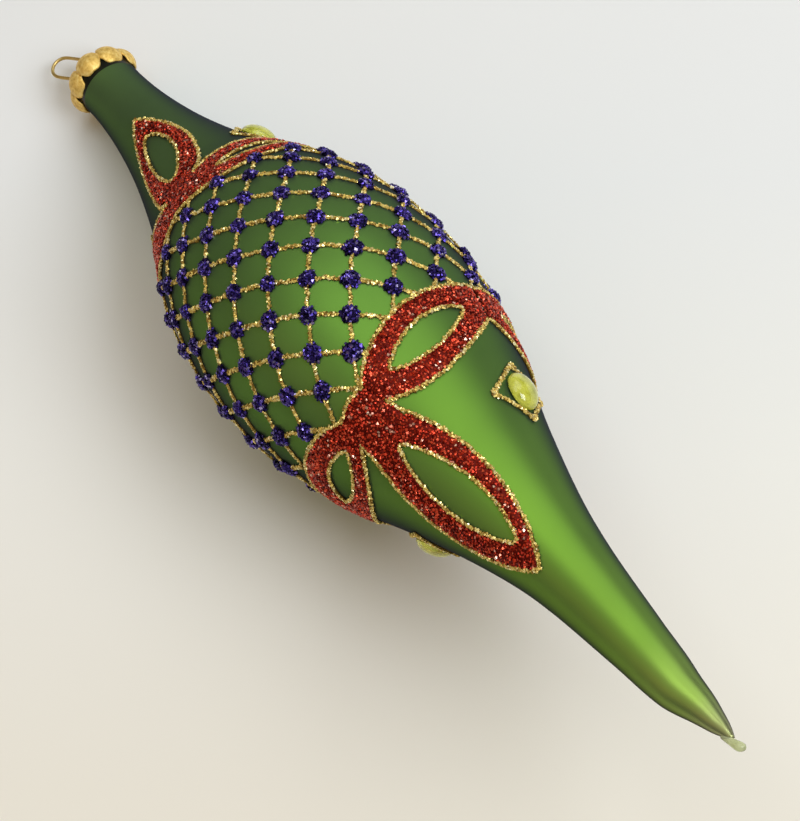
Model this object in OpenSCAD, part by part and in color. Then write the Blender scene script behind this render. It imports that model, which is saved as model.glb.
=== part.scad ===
// Olive-shaped blown-glass tree ornament, lying on its side as it rests on a table.
// Own axis: distance "at" runs from the neck rim to the tip, "turn" runs round it from the underside.

/* [Glass body] */
// Outer diameter of the neck
neck_d = 14.6; // [13:0.1:18]
// Length of the straight neck
neck_len = 8; // [6:1:12]
// Distance of the throat station from the rim
throat_at = 26; // [22:1:30]
// Diameter at the throat station
throat_d = 19.4; // [17:0.2:22]
// Distance of the flare station from the rim
flare_at = 48; // [42:1:54]
// Diameter at the flare station
flare_d = 32.4; // [28:0.2:36]
// Distance of the shoulder station from the rim
shoulder_at = 73; // [66:1:79]
// Diameter at the shoulder station
shoulder_d = 53.4; // [50:0.2:56]
// Distance of the widest place from the rim
bulge_at = 100; // [93:1:107]
// Diameter at the widest place
bulge_d = 60; // [57:0.5:66]
// Distance of the hip station from the rim
hip_at = 128; // [122:1:134]
// Diameter at the hip station
hip_d = 51; // [48:0.2:54]
// Distance of the taper station from the rim
taper_at = 153; // [147:1:159]
// Diameter at the taper station
taper_d = 33.2; // [30:0.2:36]
// Distance of the spire station from the rim
spire_at = 175; // [169:1:183]
// Diameter at the spire station
spire_d = 20.6; // [18:0.2:22]
// Distance of the stem station from the rim
stem_at = 203; // [197:1:208]
// Diameter at the stem station
stem_d = 12.8; // [11:0.2:14]
// Distance of the point station from the rim
point_at = 215; // [211:1:219]
// Diameter at the point station
point_d = 10.2; // [9:0.2:11]
// Length of the lacquered glass from the rim to the tip
glass_len = 231; // [229:1:239]
// Diameter at the tip
tip_d = 2.4; // [2:0.1:4]
// Length of the bare glass pip where the tip was melted off
pip_len = 4.5; // [3:0.5:7]
// Diameter of the pip
pip_d = 2.5; // [1.5:0.1:3.5]
// Glass thickness in the neck
neck_wall = 3.2; // [2.4:0.1:3.3]
// Glass thickness at the widest place
belly_wall = 0.6; // [0.4:0.1:1.2]
// Glass thickness where the taper closes
taper_wall = 0.4; // [0.3:0.1:1]
// Length of solid glass behind the tip
solid_tip = 8; // [6:1:16]

/* [Cap] */
// Thickness of the gilt sheet metal
cap_sheet = 0.4; // [0.3:0.05:0.6]
// Clearance between the cap and the neck, and over the rim
cap_play = 0.25; // [0.15:0.05:0.4]
// Number of domed petals
petal_count = 8; // [6:1:10]
// Diameter of a petal's dome
petal_d = 8.2; // [7.6:0.1:9]
// How far the petals stand out from the neck
petal_reach = 1.4; // [1:0.1:1.6]
// Distance of the domes' middles below the rim
petal_at = 1.4; // [1:0.1:1.8]
// Distance of the petals' open edges below the rim
petal_edge_at = 3.6; // [2.5:0.1:4]
// Turn of the first petal from the underside
petal_turn = 3.9; // [-20:0.1:20]

/* [Hanger wire] */
// Wire diameter
wire_d = 0.8; // [0.6:0.05:1]
// Distance between the two holes in the cap
hole_pitch = 6.4; // [5.6:0.1:6.8]
// Clearance round the wire in its holes
hole_play = 0.35; // [0.25:0.05:0.5]
// Height above the rim where the loop starts to lean
wire_rise = 3.4; // [3.2:0.1:5]
// Lean of the loop from the axis
loop_lean = 32; // [0:1:40]
// Distance from the lean to the middle of the round end
loop_reach = 8.9; // [6:0.1:14]
// Turn of the side that the loop leans to
loop_turn = 270; // [250:1:290]
// How far the legs reach down the neck
leg_len = 26; // [15:1:30]
// Clearance between a leg's end and the neck's bore
leg_play = 0.25; // [0.15:0.05:0.4]

/* [Net] */
// Dots in a full ring
dots_round = 16; // [12:2:20]
// Distance of the first ring from the rim
net_at = 67; // [66.5:0.5:69]
// Mean distance between rings
ring_pitch = 5.76; // [5.2:0.02:5.9]
// How far the middle ring sits above an even spacing
ring_sway = 1.7; // [0:0.1:2]
// Turn of the first dot from the underside
net_turn = -1.85; // [-10:0.05:10]
// Drift of each ring against the one before
net_twist = 1.34; // [0:0.02:2]
// Diameter of a glitter dot
dot_d = 4.2; // [3.4:0.1:4.4]
// Height of a glitter dot
dot_h = 1.3; // [0.9:0.1:1.6]
// Width of a gold line
line_w = 1; // [0.6:0.1:1.3]
// Height of a gold line
line_h = 0.45; // [0.3:0.05:0.7]
// Space between a line's end and its dot or bow
line_gap = 0.15; // [0.1:0.05:0.4]

/* [Lower bows] */
// Distance of the knots from the rim
low_at = 136; // [135.5:0.5:140]
// Turn of the front knot from the underside
low_turn = 206; // [200:1:212]
// Half the angle that a knot covers
low_knot_turn = 10; // [8:1:12]
// Reach of the knot towards the net
low_knot_reach = 5.5; // [4.5:0.1:6]
// Where the long loop starts below the knot's middle
low_loop_from = 4.6; // [4:0.1:6]
// Length of the long loop
low_loop_len = 40; // [34:1:42]
// Half width of the long loop
low_loop_half = 8.8; // [8:0.1:9]
// How far the long loop swings to the left
low_loop_swing = 1.3; // [0:0.1:1.6]
// Rest of red at both ends of the long loop's hollow
low_loop_rim = [3, 7]; // [2:0.5:8]
// Half width of the long loop's hollow
low_hollow_half = 4.8; // [3.5:0.1:5]
// How far each eye's middle lies above the knot: right and left
low_eye_rise = [3, 2.3]; // [1:0.1:4]
// How much further each eye climbs to its end: right and left
low_eye_climb = [7, 1.5]; // [0:0.1:7]
// Half height of the eyes at the knot, the middle and the end
low_eye_half = [2.2, 8, 4]; // [2:0.1:8.2]
// Half height of the hollow in each eye: right and left
low_slit_half = [3.4, 2.5]; // [1.5:0.1:3.6]

/* [Upper bows] */
// Distance of the knots from the rim
up_at = 57; // [53:0.5:57]
// Turn of the front knot from the underside
up_turn = 196; // [190:1:202]
// Half the angle that a knot covers
up_knot_turn = 9; // [8:1:12]
// Reach of the knot towards the net
up_knot_reach = 5.8; // [4:0.1:6]
// Where the upright loop starts above the knot's middle
up_loop_from = 3; // [2.8:0.1:4]
// Length of the upright loop
up_loop_len = 29; // [26:0.5:31]
// Half width of the upright loop
up_loop_half = 7.6; // [7:0.1:8.2]
// How far the upright loop swings to the left
up_loop_swing = -1.3; // [-1.6:0.1:0]
// Rest of red at both ends of the upright loop's hollow
up_loop_rim = [1.9, 7.3]; // [1.5:0.1:9]
// Half width of the upright loop's hollow
up_hollow_half = 3.7; // [3:0.1:4]
// How far each eye's middle lies below the knot: right and left
up_eye_rise = [2.4, 2.4]; // [1:0.1:2.6]
// How much further each eye drops to its end: right and left
up_eye_climb = [0, 0]; // [0:0.1:0.5]
// Half height of the eyes at the knot, the middle and the end
up_eye_half = [2.4, 4.6, 3.4]; // [2:0.1:4.8]
// Half height of the hollow in each eye: right and left
up_slit_half = [1.7, 1.7]; // [1:0.1:2]

/* [Glitter ribbon] */
// Height of the red glitter
ribbon_h = 0.8; // [0.5:0.1:1.2]
// Width of the gold edging
edge_w = 0.9; // [0.6:0.1:1.2]
// Height of the gold edging
edge_h = 0.7; // [0.4:0.1:1]
// Space between the red glitter and its edging
edge_gap = 0.1; // [0.05:0.05:0.3]
// Thickness of the glue layer under all the glitter
glue_gap = 0.18; // [0.14:0.01:0.25]
// Space left where two bows meet
meet_gap = 0.6; // [0.5:0.1:2]

/* [Jewels] */
// Distance of the lower jewels from the rim: right and left
low_jewel_at = [147, 150]; // [146:0.5:153]
// Turn of the lower jewels from the underside: right and left
low_jewel_turn = [116, 298]; // [112:1:300]
// Distance of the upper jewels from the rim
up_jewel_at = 48.5; // [39:0.5:48.5]
// Turn of the right upper jewel from the underside
up_jewel_turn = 108; // [104:1:110]
// Length of a jewel along the ornament
jewel_len = 8; // [6:0.1:8.2]
// Width of a jewel round the ornament
jewel_w = 6.8; // [5:0.1:7]
// Height of a jewel
jewel_h = 2.6; // [1.5:0.1:3.5]
// Length of a bed's outline along the ornament
bed_len = 12.6; // [12.4:0.2:15]
// Width of a bed's outline round the ornament
bed_w = 16.2; // [16:0.2:18]
// Width of the gold line round a bed
bed_line_w = 1; // [0.6:0.1:1.1]

/* [Hidden] */
$fn = 48;

green_lacquer = [0.33, 0.5, 0.2];
gilt = [0.8, 0.65, 0.32];
violet_glitter = [0.24, 0.16, 0.58];
gold_glitter = [0.83, 0.7, 0.38];
red_glitter = [0.66, 0.17, 0.13];
lemon = [0.88, 0.92, 0.35];

// Half a turn separates the front and the back of everything that comes in pairs
half_turn = 180;
// Number of dot rings, each a node of its own
ring_count = 11;
// Room kept beside a dot, where its round outline has drawn back
dot_side_room = dot_d / 4;

// Steps along the lathe-turned outline, and round the pip
lathe_steps = 57;
pip_steps = 8;
// Samples along one edge of an eye, along one side of a loop, and round a hollow's half
eye_steps = 10;
loop_steps = 11;
hollow_steps = 10;
// Samples across a knot, from its right side to its left
knot_sweep = [-1, -0.5, 0, 0.5, 1];
// Samples along a line when it is cut off at a bow
clip_steps = 20;
// Shortest piece of gold line that is laid
least_line = 1.2;
// Where along the eye its lower edging meets the loop
corner_share = 0.04;
// Span of an eye taken up by its hollow: from and to, right and left
low_slit_span = [[0.2, 0.825], [0.15, 0.64]];
up_slit_span = [[0.2, 0.825], [0.55, 0.85]];
// Part of a loop's rounding that lies hidden in the knot
low_loop_hidden = 0.2;
up_loop_hidden = 0.34;
// How far a loop's hollow swings to the left
low_hollow_swing = -0.3;
up_hollow_swing = -0.9;
// Bend of a swing along its loop, in degrees
swing_bend = 135;
// How much further a knot reaches round at its loop, in degrees
knot_widen = 2.5;
// Fullness of eyes, loops and hollows: lower is blunter
eye_power = 0.8;
low_loop_power = 0.75;
up_loop_power = 0.8;
low_hollow_power = 0.75;
up_hollow_power = 0.6;
slit_power = 0.75;
climb_power = 1.6;
// Slope of the red glitter's sides, as a share of the ribbon's width
ribbon_bevel = 0.2;
// A hollow's pointed ends stay this wide
least_half = 0.2;
// Rounding of a jewel bed's outline: 1 is straight sides, less draws them in
bed_power = 0.95;
bed_steps = 24;
jewel_rings = 4;
jewel_sides = 18;
// Highest ring of a jewel's dome, in degrees from its base
jewel_top = 84;
// Samples round the wire's round end, and sides of the wire
arc_steps = 12;
wire_sides = 12;

function lerp(p, q, f) = p + (q - p) * f;
function unit(v) = v / norm(v);
function limit(x) = min(1, max(0, x));
function bump(f, power) = pow(max(0, sin(half_turn * f)), power);

// Outline of the glass: a smooth curve through the stations
stations = [
    [0, neck_d / 2], [neck_len, neck_d / 2], [throat_at, throat_d / 2], [flare_at, flare_d / 2],
    [shoulder_at, shoulder_d / 2], [bulge_at, bulge_d / 2], [hip_at, hip_d / 2],
    [taper_at, taper_d / 2], [spire_at, spire_d / 2], [stem_at, stem_d / 2],
    [point_at, point_d / 2], [glass_len, tip_d / 2]
];
last_station = len(stations) - 1;
function span(i) = stations[i + 1][0] - stations[i][0];
function chord(i) = (stations[i + 1][1] - stations[i][1]) / span(i);
function slope_at(i) =
    i == 0 ? 0 :
    i == last_station ? chord(i - 1) :
    (chord(i - 1) * span(i) + chord(i) * span(i - 1)) / (span(i) + span(i - 1));
station_slopes = [for (i = [0:last_station]) slope_at(i)];
function span_index(at) = max([for (i = [0:last_station - 1]) if (i == 0 || at >= stations[i][0]) i]);
function glass_r(at) =
    let (i = span_index(at), h = span(i), f = (at - stations[i][0]) / h)
    stations[i][1] * (1 + 2 * f) * pow(1 - f, 2) + stations[i + 1][1] * f * f * (3 - 2 * f)
    + h * station_slopes[i] * f * pow(1 - f, 2) - h * station_slopes[i + 1] * f * f * (1 - f);
function glass_slope(at) =
    let (i = span_index(at), h = span(i), f = (at - stations[i][0]) / h)
    6 * f * (1 - f) * chord(i) + station_slopes[i] * (1 - f) * (1 - 3 * f)
    + station_slopes[i + 1] * f * (3 * f - 2);
function glass_wall(at) =
    at < neck_len ? neck_wall :
    at < bulge_at ? lerp(neck_wall, belly_wall, (at - neck_len) / (bulge_at - neck_len)) :
    lerp(belly_wall, taper_wall, (at - bulge_at) / (glass_len - solid_tip - bulge_at));

// A place on the glass, p = [at, turn], raised by h square to the surface
function normal(p) =
    let (m = glass_slope(p[0]), n = 1 / sqrt(1 + m * m))
    [n * cos(p[1]), n * sin(p[1]), -m * n];
function on_axis(p) = let (r = glass_r(p[0])) [r * cos(p[1]), r * sin(p[1]), p[0]];
function raised(p, h) = on_axis(p) + h * normal(p);
function degrees_of(len, at) = len / glass_r(at) * half_turn / PI;

// Rows of dots, each shifted half a step against the one before
dot_step = 360 / dots_round;
dot_ball_r = (pow(dot_d / 2, 2) + pow(dot_h, 2)) / (2 * dot_h);
function ring_at(i) = net_at + ring_pitch * i - ring_sway * sin(half_turn * i / (ring_count - 1));
function dot_turn(i, j) = net_turn + dot_step * (j + abs(i % 2) / 2) - net_twist * i;
function dot_place(i, j) = [ring_at(i), dot_turn(i, j)];

// Bow outlines in bow measure: v runs from the knot's middle towards the loop's end
low_bow = [
    low_at, 1, low_knot_turn, low_knot_reach,
    low_eye_rise, low_eye_climb, low_eye_half, low_slit_half,
    low_loop_from, low_loop_len, low_loop_half, low_loop_rim, low_hollow_half,
    low_loop_power, low_loop_hidden, low_loop_swing, low_hollow_power, low_hollow_swing, low_slit_span
];
up_bow = [
    up_at, -1, up_knot_turn, up_knot_reach,
    up_eye_rise, up_eye_climb, up_eye_half, up_slit_half,
    up_loop_from, up_loop_len, up_loop_half, up_loop_rim, up_hollow_half,
    up_loop_power, up_loop_hidden, up_loop_swing, up_hollow_power, up_hollow_swing, up_slit_span
];
// The back bows mirror the front ones, so that eyes of one height meet
function mirrored(bow) = [for (k = [0:len(bow) - 1])
    k == 4 || k == 5 || k == 7 || k == 18 ? [bow[k][1], bow[k][0]] :
    k == 15 || k == 17 ? -bow[k] : bow[k]];
low_back_bow = mirrored(low_bow);
up_back_bow = mirrored(up_bow);
function bow_at(bow, v) = bow[0] + bow[1] * v;
function eye_stop(bow) = half_turn / 2 - degrees_of(meet_gap / 2, bow[0]);
// An eye runs from the knot (x = 0) to where it meets the next bow (x = 1); hand 0 is right, 1 is left
function hand_sign(hand) = 2 * hand - 1;
function eye_turn(bow, x) = lerp(bow[2], eye_stop(bow), x);
function eye_mid(bow, hand, x) = -bow[4][hand] - bow[5][hand] * pow(limit(x), climb_power);
function eye_half(bow, x) =
    let (e = lerp(bow[6][0], bow[6][2], x))
    e + (bow[6][1] - e) * bump(x, eye_power);
// Edge of the knot that faces the net, from the right eye (f = -1) to the left eye (f = 1)
function knot_edge(bow, f) =
    let (hand = f < 0 ? 0 : 1)
    lerp(-bow[3], eye_mid(bow, hand, 0) - eye_half(bow, 0), abs(f));
// Point of an eye's edge: edge -1 faces the net, edge 1 faces the loop
function eye_point(bow, turn, hand, x, edge, inset) =
    let (trim = degrees_of(inset, bow[0]), x_trim = trim / (eye_stop(bow) - bow[2]))
    let (x_in = lerp(x_trim, 1 - x_trim, x))
    [bow_at(bow, eye_mid(bow, hand, x_in) + edge * (eye_half(bow, x_in) - inset)),
        turn + hand_sign(hand) * eye_turn(bow, x_in)];
function eye_edge(bow, turn, hand, edge, inset, from, to) =
    [for (k = [0:eye_steps]) eye_point(bow, turn, hand, lerp(from, to, k / eye_steps), edge, inset)];
function slit_point(bow, turn, hand, f, edge, outset) =
    let (grow = degrees_of(outset, bow[0]) / (eye_stop(bow) - bow[2]))
    let (x = lerp(bow[18][hand][0] - grow, bow[18][hand][1] + grow, f))
    [bow_at(bow, eye_mid(bow, hand, x)
        + edge * (least_half + outset + (bow[7][hand] - least_half) * bump(f, slit_power))),
        turn + hand_sign(hand) * eye_turn(bow, x)];
// Samples along a loop lie closer towards its round end
function loop_share(k) = sin(half_turn / 2 * k / loop_steps);
function loop_point(bow, turn, y, sign, inset) =
    let (v = bow[8] + inset + (bow[9] - 2 * inset) * y, at = bow_at(bow, v))
    let (w = bow[10] * bump(lerp(bow[14], 1, y), bow[13]))
    let (swing = bow[15] * sin(swing_bend * y))
    [at, turn + degrees_of(swing + sign * max(least_half, w - inset), at)];
function hollow_point(bow, turn, y, sign, outset) =
    let (from = bow[8] + bow[11][0] - outset, to = bow[8] + bow[9] - bow[11][1] + outset)
    let (at = bow_at(bow, lerp(from, to, y)))
    let (half = least_half + outset + (bow[12] - least_half) * bump(y, bow[16]))
    let (swing = bow[17] * sin(swing_bend * y))
    [at, turn + degrees_of(swing + sign * half, at)];

// Edge of a bow that faces the net, and whether a place on the net is clear of both bows
function from_knot(turn, knot) =
    let (k = round((turn - knot) / half_turn), d = turn - knot - half_turn * k)
    k % 2 == 0 ? d : -d;
function net_edge(bow, knot, turn) =
    let (d = from_knot(turn, knot), hand = d < 0 ? 0 : 1)
    let (x = limit((abs(d) - bow[2]) / (eye_stop(bow) - bow[2])))
    bow_at(bow, abs(d) < bow[2] ? knot_edge(bow, d / bow[2]) : eye_mid(bow, hand, x) - eye_half(bow, x));
function clear_of_bows(p, room) =
    p[0] + room + edge_w / 2 < net_edge(low_bow, low_turn, p[1])
    && p[0] - room - edge_w / 2 > net_edge(up_bow, up_turn, p[1]);
function dot_fits(i, j) =
    let (p = dot_place(i, j), side = degrees_of(dot_d / 2, p[0]))
    i >= 0 && i < ring_count
    && clear_of_bows(p, dot_d / 2 + line_gap)
    && clear_of_bows(p + [0, side], dot_side_room)
    && clear_of_bows(p - [0, side], dot_side_room);

// Hanger: the loop stands in the plane of the axis and its lean, in [across, up] measure
hole_r = wire_d / 2 + hole_play;
bore_r = neck_d / 2 - neck_wall;
leg_end = bore_r - leg_play - wire_d / 2;
loop_r = hole_pitch / 2 * cos(loop_lean);
lean_way = [sin(loop_lean), cos(loop_lean)];
loop_mid = [0, wire_rise] + loop_reach * lean_way;
petal_r = petal_d / 2;
petal_mid_r = neck_d / 2 + petal_reach - petal_r;

// Lie on the table: it rests on a cap petal and on the dots of the underside
petal_down = petal_mid_r * cos(petal_turn);
function dot_middle(i, j) = raised(dot_place(i, j), glue_gap + dot_h - dot_ball_r);
function lie_on(c) =
    let (along = c[2] - petal_at, down = c[0] - petal_down)
    atan2(down, along) + asin((dot_ball_r - petal_r) / norm([along, down]));
lie_tilt = max([for (i = [0:ring_count - 1], j = [0:dots_round - 1])
    if (dot_fits(i, j) && cos(dot_turn(i, j)) > 0) lie_on(dot_middle(i, j))]);
lie_height = petal_r + petal_down * cos(lie_tilt) - petal_at * sin(lie_tilt);
// Ends of the lying ornament along X, so that it lies centred on the origin
function along_x(r, at) = at * cos(lie_tilt) + r * sin(lie_tilt);
pip_outline = [for (k = [1:pip_steps])
    let (angle = half_turn * k / pip_steps)
    [pip_d / 2 * sin(angle), glass_len + pip_len * (1 - cos(angle)) / 2]];
x_tip = max([for (p = pip_outline) along_x(p[0], p[1])]);
loop_far_l = sin(loop_lean) * cos(loop_turn) * sin(lie_tilt) - cos(loop_lean) * cos(lie_tilt);
loop_far_m = cos(loop_lean) * cos(loop_turn) * sin(lie_tilt) + sin(loop_lean) * cos(lie_tilt);
loop_far = loop_r * norm([loop_far_l, loop_far_m]) + wire_d / 2;
x_loop = along_x(loop_mid[0] * cos(loop_turn), -loop_mid[1]) - loop_far;

module lay() {
    translate([-(x_tip + x_loop) / 2, 0, lie_height])
        rotate([0, 90 - lie_tilt, 0])
            children();
}

// Stands children on the glass at p, with their +Z square to the surface
module stand_at(p, h) {
    n = normal(p);
    translate(raised(p, h))
        rotate([0, 0, p[1]])
            rotate([0, acos(n[2]), 0])
                children();
}

// A solid skin over rows of points: each row is one cross-section, joined to the next
module skin(rows, closed, flip = false) {
    m = len(rows[0]);
    n = len(rows);
    sides = [for (i = [0:(closed ? n - 1 : n - 2)], k = [0:m - 1])
        let (a = i * m, b = ((i + 1) % n) * m, k2 = (k + 1) % m)
        each [[a + k, a + k2, b + k2], [a + k, b + k2, b + k]]];
    last = (n - 1) * m;
    first_end = [for (k = [1:m - 2]) [0, k + 1, k]];
    last_end = [for (k = [1:m - 2]) [last, last + k, last + k + 1]];
    faces = closed ? sides : concat(sides, first_end, last_end);
    polyhedron(
        points = [for (row = rows) each row],
        faces = flip ? [for (f = faces) [f[2], f[1], f[0]]] : faces);
}

// A ridge of glitter along places on the glass
module stroke(places, w, h, closed) {
    n = len(places);
    spots = [for (p = places) raised(p, glue_gap)];
    rows = [for (i = [0:n - 1])
        let (before = closed ? (i + n - 1) % n : max(0, i - 1))
        let (after = closed ? (i + 1) % n : min(n - 1, i + 1))
        let (up = normal(places[i]), across = unit(cross(up, spots[after] - spots[before])))
        [spots[i] - across * w / 2, spots[i] + across * w / 2, spots[i] + up * h]];
    skin(rows, closed);
}

// A flat ribbon of glitter between an outer and an inner outline
module ribbon(outer, inner, flip, closed = true) {
    top = [ribbon_bevel, 1 / 2, 1 - ribbon_bevel];
    under = [1, 3 / 4, 1 / 2, 1 / 4];
    skin([for (i = [0:len(outer) - 1])
        concat(
            [raised(outer[i], glue_gap)],
            [for (f = top) raised(lerp(outer[i], inner[i], f), glue_gap + ribbon_h)],
            [for (f = under) raised(lerp(outer[i], inner[i], f), glue_gap)])],
        closed, flip);
}

module glass_shell() {
    inner_end = glass_len - solid_tip;
    outer = [for (k = [0:lathe_steps]) let (at = glass_len * k / lathe_steps) [glass_r(at), at]];
    inner = [for (k = [lathe_steps:-1:0])
        let (at = inner_end * k / lathe_steps)
        [glass_r(at) - glass_wall(at), at]];
    color(green_lacquer)
        lay()
            rotate_extrude()
                polygon(concat(outer, pip_outline, [[0, inner_end]], inner));
}

module ornament_cap() {
    plate_r = neck_d / 2 + cap_play + cap_sheet;
    crown = petal_d + petal_at;
    color(gilt)
        lay()
            difference() {
                union() {
                    difference() {
                        petals(petal_r);
                        petals(petal_r - cap_sheet);
                    }
                    translate([0, 0, -cap_play - cap_sheet])
                        cylinder(r = plate_r, h = cap_sheet);
                }
                translate([0, 0, -cap_play])
                    cylinder(r = neck_d / 2 + cap_play, h = crown);
                translate([0, 0, petal_edge_at])
                    cylinder(r = neck_d, h = crown);
                for (side = [-1, 1])
                    rotate([0, 0, loop_turn])
                        translate([side * hole_pitch / 2, 0, -crown])
                            cylinder(r = hole_r, h = 2 * crown);
            }
}

module petals(r) {
    for (k = [0:petal_count - 1])
        rotate([0, 0, petal_turn + 360 * k / petal_count])
            translate([petal_mid_r, 0, petal_at])
                sphere(r = r);
}

// One unbroken wire: down both legs into the neck, with the round end between them
module hanger_wire() {
    function leg(side) = [
        [side * leg_end, -leg_len], [side * hole_pitch / 2, -cap_play], [side * hole_pitch / 2, cap_play],
        [side * hole_pitch / 2, wire_rise]];
    across = [lean_way[1], -lean_way[0]];
    arc = [for (k = [0:arc_steps])
        let (angle = half_turn * k / arc_steps)
        loop_mid + loop_r * (sin(angle) * lean_way - cos(angle) * across)];
    far_leg = leg(1);
    path = concat(leg(-1), arc, [for (k = [len(far_leg) - 1:-1:0]) far_leg[k]]);
    last = len(path) - 1;
    rows = [for (i = [0:last])
        let (way = unit(path[min(last, i + 1)] - path[max(0, i - 1)]))
        [for (k = [0:wire_sides - 1])
            let (angle = 360 * k / wire_sides, out = wire_d / 2 * cos(angle))
            [path[i][0] - out * way[1], wire_d / 2 * sin(angle), -path[i][1] - out * way[0]]]];
    color(gilt)
        lay()
            rotate([0, 0, loop_turn])
                skin(rows, false);
}

// One piece of gold line from the dot at ring i to the next ring, clear of dots and bows
module net_line(i, j, way) {
    p = dot_place(i, j);
    q = [ring_at(i + 1), dot_turn(i, j) + way * dot_step / 2 - net_twist];
    full = norm(raised(q, glue_gap) - raised(p, glue_gap));
    stay = (dot_d / 2 + line_gap) / full;
    cross_stay = (line_w + line_gap) / full;
    shifted = abs(i % 2) == 1;
    j_next = j + (way > 0 ? (shifted ? 1 : 0) : (shifted ? 0 : -1));
    open = [for (k = [0:clip_steps])
        let (f = k / clip_steps)
        if (clear_of_bows(lerp(p, q, f), line_w / 2 + line_gap)) f];
    if (len(open) > 1) {
        from = max(dot_fits(i, j) ? stay : cross_stay, open[0]);
        to = min(1 - (dot_fits(i + 1, j_next) ? stay : cross_stay), open[len(open) - 1]);
        if ((to - from) * full > least_line) {
            start = raised(lerp(p, q, from), glue_gap);
            end = raised(lerp(p, q, to), glue_gap);
            along = unit(end - start);
            across = unit(cross(normal(lerp(p, q, (from + to) / 2)), along));
            up = cross(along, across);
            multmatrix([for (k = [0:2]) [across[k], up[k], along[k], start[k]]])
                linear_extrude(norm(end - start))
                    polygon([[-line_w / 2, 0], [line_w / 2, 0], [0, line_h]]);
        }
    }
}

module net_lines(way) {
    color(gold_glitter)
        lay()
            for (i = [-1:ring_count - 1], j = [0:dots_round - 1])
                net_line(i, j, way);
}
module net_lines_left() { net_lines(1); }
module net_lines_right() { net_lines(-1); }

module dot() {
    difference() {
        translate([0, 0, dot_h - dot_ball_r])
            sphere(r = dot_ball_r);
        translate([0, 0, -2 * dot_ball_r])
            cylinder(r = 2 * dot_ball_r, h = 2 * dot_ball_r);
    }
}

module dot_ring(i) {
    color(violet_glitter)
        lay()
            for (j = [0:dots_round - 1])
                if (dot_fits(i, j))
                    stand_at(dot_place(i, j), glue_gap)
                        dot();
}

// Red glitter of one bow: two eyes, the loop and the knot between them
module bow_red(bow, turn) {
    inset = edge_w / 2 + edge_gap;
    turns = bow[1] > 0;
    color(red_glitter)
        lay() {
            for (hand = [0, 1]) {
                outer = concat(
                    eye_edge(bow, turn, hand, -1, inset, 0, 1),
                    eye_edge(bow, turn, hand, 1, inset, 1, 0));
                inner = concat(
                    [for (k = [0:eye_steps]) slit_point(bow, turn, hand, k / eye_steps, -1, inset)],
                    [for (k = [eye_steps:-1:0]) slit_point(bow, turn, hand, k / eye_steps, 1, inset)]);
                ribbon(outer, inner, turns != (hand == 1));
            }
            // The loop's samples end with a few across its start, which follow the round of the glass
            across = [for (f = knot_sweep) if (abs(f) < 1) f];
            outer = concat(
                [for (k = [0:loop_steps]) loop_point(bow, turn, loop_share(k), 1, inset)],
                [for (k = [loop_steps:-1:0]) loop_point(bow, turn, loop_share(k), -1, inset)],
                [for (f = across) loop_point(bow, turn, 0, f, inset)]);
            inner = concat(
                [for (k = [0:loop_steps]) hollow_point(bow, turn, loop_share(k), 1, inset)],
                [for (k = [loop_steps:-1:0]) hollow_point(bow, turn, loop_share(k), -1, inset)],
                [for (f = across) hollow_point(bow, turn, 0, f, inset)]);
            ribbon(outer, inner, !turns);
            knot_half = bow[2] - degrees_of(edge_gap, bow[0]);
            ribbon(
                [for (f = knot_sweep) [bow_at(bow, inset + knot_edge(bow, f)), turn + f * knot_half]],
                [for (f = knot_sweep) [bow_at(bow, bow[8]), turn + f * (knot_half + knot_widen)]],
                !turns, closed = false);
        }
}

// Gold edging of one bow: the edge that faces the net, the edge round the loop, and the hollows
module bow_edging(bow, turn) {
    color(gold_glitter)
        lay() {
            stroke(concat(
                eye_edge(bow, turn, 0, -1, 0, 1, 0),
                [[bow_at(bow, -bow[3]), turn]],
                eye_edge(bow, turn, 1, -1, 0, 0, 1)), edge_w, edge_h, false);
            stroke(concat(
                eye_edge(bow, turn, 0, 1, 0, 1, corner_share),
                [for (k = [0:loop_steps]) loop_point(bow, turn, loop_share(k), -1, 0)],
                [for (k = [loop_steps - 1:-1:0]) loop_point(bow, turn, loop_share(k), 1, 0)],
                eye_edge(bow, turn, 1, 1, 0, corner_share, 1)), edge_w, edge_h, false);
            for (hand = [0, 1])
                stroke(concat(
                    [for (k = [0:hollow_steps]) slit_point(bow, turn, hand, k / hollow_steps, -1, 0)],
                    [for (k = [hollow_steps:-1:0]) slit_point(bow, turn, hand, k / hollow_steps, 1, 0)]),
                    edge_w, edge_h, true);
            stroke(concat(
                [for (k = [0:hollow_steps]) hollow_point(bow, turn, k / hollow_steps, 1, 0)],
                [for (k = [hollow_steps:-1:0]) hollow_point(bow, turn, k / hollow_steps, -1, 0)]),
                edge_w, edge_h, true);
        }
}

// Gold outline of a jewel's bed: a four-pointed figure with slightly drawn-in sides
module jewel_bed(at, turn) {
    function drawn(c) = sign(c) * pow(abs(c), 2 / bed_power);
    color(gold_glitter)
        lay()
            stroke([for (k = [0:bed_steps - 1])
                let (angle = 360 * (k + 0.5) / bed_steps)
                [at + bed_len / 2 * drawn(cos(angle)),
                    turn + degrees_of(bed_w / 2 * drawn(sin(angle)), at)]],
                bed_line_w, edge_h, true);
}

// Domed oval jewel glued flat on the glass
module jewel(at, turn) {
    function oval(lift, k) =
        let (angle = 360 * k / jewel_sides)
        [-jewel_len / 2 * cos(lift) * cos(angle), jewel_w / 2 * cos(lift) * sin(angle),
            jewel_h * sin(lift)];
    color(lemon)
        lay()
            stand_at([at, turn], glue_gap)
                skin([for (ring = [0:jewel_rings]) let (lift = jewel_top * ring / jewel_rings)
                    [for (k = [0:jewel_sides - 1]) oval(lift, k)]], false);
}

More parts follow.
